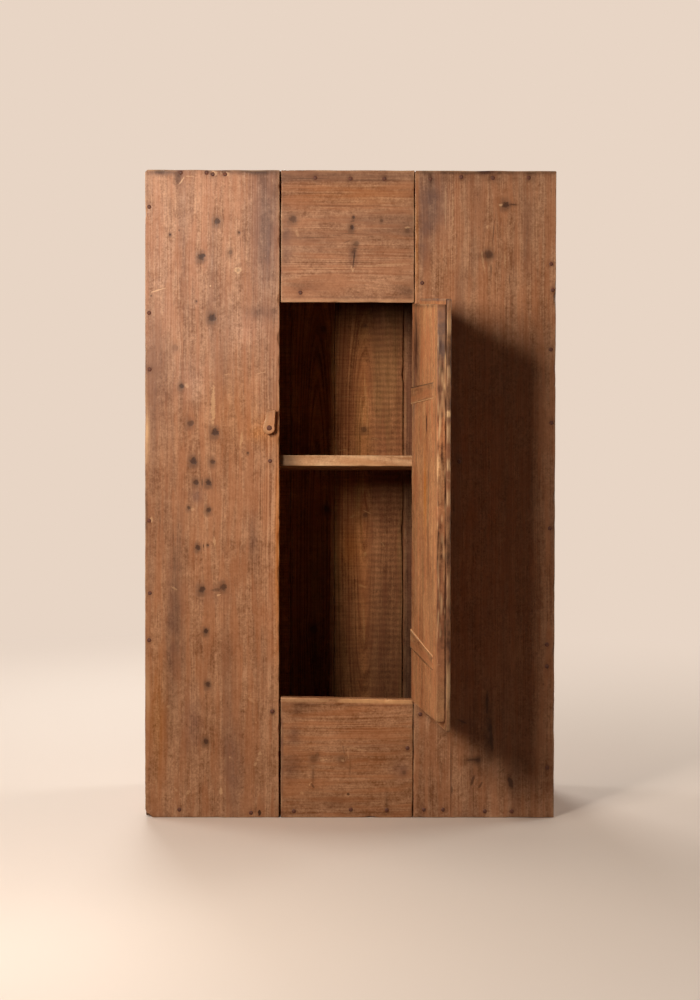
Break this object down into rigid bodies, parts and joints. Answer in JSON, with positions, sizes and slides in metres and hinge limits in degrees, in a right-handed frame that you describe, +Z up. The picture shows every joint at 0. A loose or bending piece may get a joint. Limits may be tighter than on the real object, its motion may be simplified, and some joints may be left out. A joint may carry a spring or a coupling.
{
  "type": "jelly cupboard",
  "caption": "Free-standing pantry cupboard of nailed pine boards, with a sloping shelf behind one lipped door on iron hinges, held shut by a wooden turn button.",
  "frame": {"origin": "on the floor, at the centre of the case's footprint, on the underside of the bottom boards; the open door is not counted in the footprint", "axes": "+Z up, -Y out of the front, +X to the right of someone who faces the front"},
  "size_m": [1.0282, 0.7686, 1.6216],
  "materials": {
    "waxed_pine": "aged reddish-brown wax, satin, worn edges",
    "bare_pine": "unfinished old pine, matt, saw-marked",
    "door_pine": "aged orange-brown pine, satin, gnarled lip",
    "button_wood": "hand-worn hardwood, satin",
    "forged_iron": "hammer-forged, dark brown rust patina",
    "nail_iron": "rusty hand-made nail"
  },
  "bodies": {
    "case": {"front_left_board": "waxed_pine", "front_right_board": "waxed_pine", "front_top_panel": "waxed_pine", "front_bottom_panel": "waxed_pine", "front_upper_batten": "bare_pine", "front_lower_batten": "bare_pine", "left_side_front_board": "waxed_pine", "right_side_front_board": "waxed_pine", "left_side_rear_board": "waxed_pine", "right_side_rear_board": "waxed_pine", "top_front_board": "waxed_pine", "top_rear_board": "waxed_pine", "bottom_front_board": "bare_pine", "bottom_rear_board": "bare_pine", "back_board_1": "bare_pine", "back_board_2": "bare_pine", "back_board_3": "bare_pine", "back_board_4": "bare_pine", "back_board_5": "bare_pine", "back_board_6": "bare_pine", "shelf_front_board": "bare_pine", "shelf_rear_board": "bare_pine", "shelf_left_cleat": "bare_pine", "shelf_right_cleat": "bare_pine", "upper_hinge_stile_leaf": "forged_iron", "upper_hinge_pin": "forged_iron", "lower_hinge_stile_leaf": "forged_iron", "lower_hinge_pin": "forged_iron", "front_top_nails": "nail_iron", "front_bottom_nails": "nail_iron", "front_left_nails": "nail_iron", "front_right_nails": "nail_iron", "front_batten_nails": "nail_iron", "shelf_front_nails": "nail_iron", "top_nails": "nail_iron", "side_bottom_nails": "nail_iron", "back_nails": "nail_iron", "cleat_nails": "nail_iron", "hinge_stile_nails": "nail_iron", "button_pivot": "nail_iron"},
    "door": {"door_board": "door_pine", "door_upper_batten": "door_pine", "door_lower_batten": "door_pine", "upper_hinge_door_leaf": "forged_iron", "lower_hinge_door_leaf": "forged_iron", "door_batten_nails": "nail_iron", "hinge_door_nails": "nail_iron"},
    "button": {"turn_button": "button_wood"}
  },
  "joints": [
    {"name": "door_swing", "type": "hinge", "parent": "case", "child": "door", "pos_m": [0.1745, -0.2075, 0.7568], "axis": [0, 0, 1], "range_deg": [-98.1, 41.9]},
    {"name": "button_turn", "type": "hinge", "parent": "case", "child": "button", "pos_m": [-0.202, -0.2025, 0.978], "axis": [0, -1, 0], "range_deg": [-90, 90]}
  ]
}
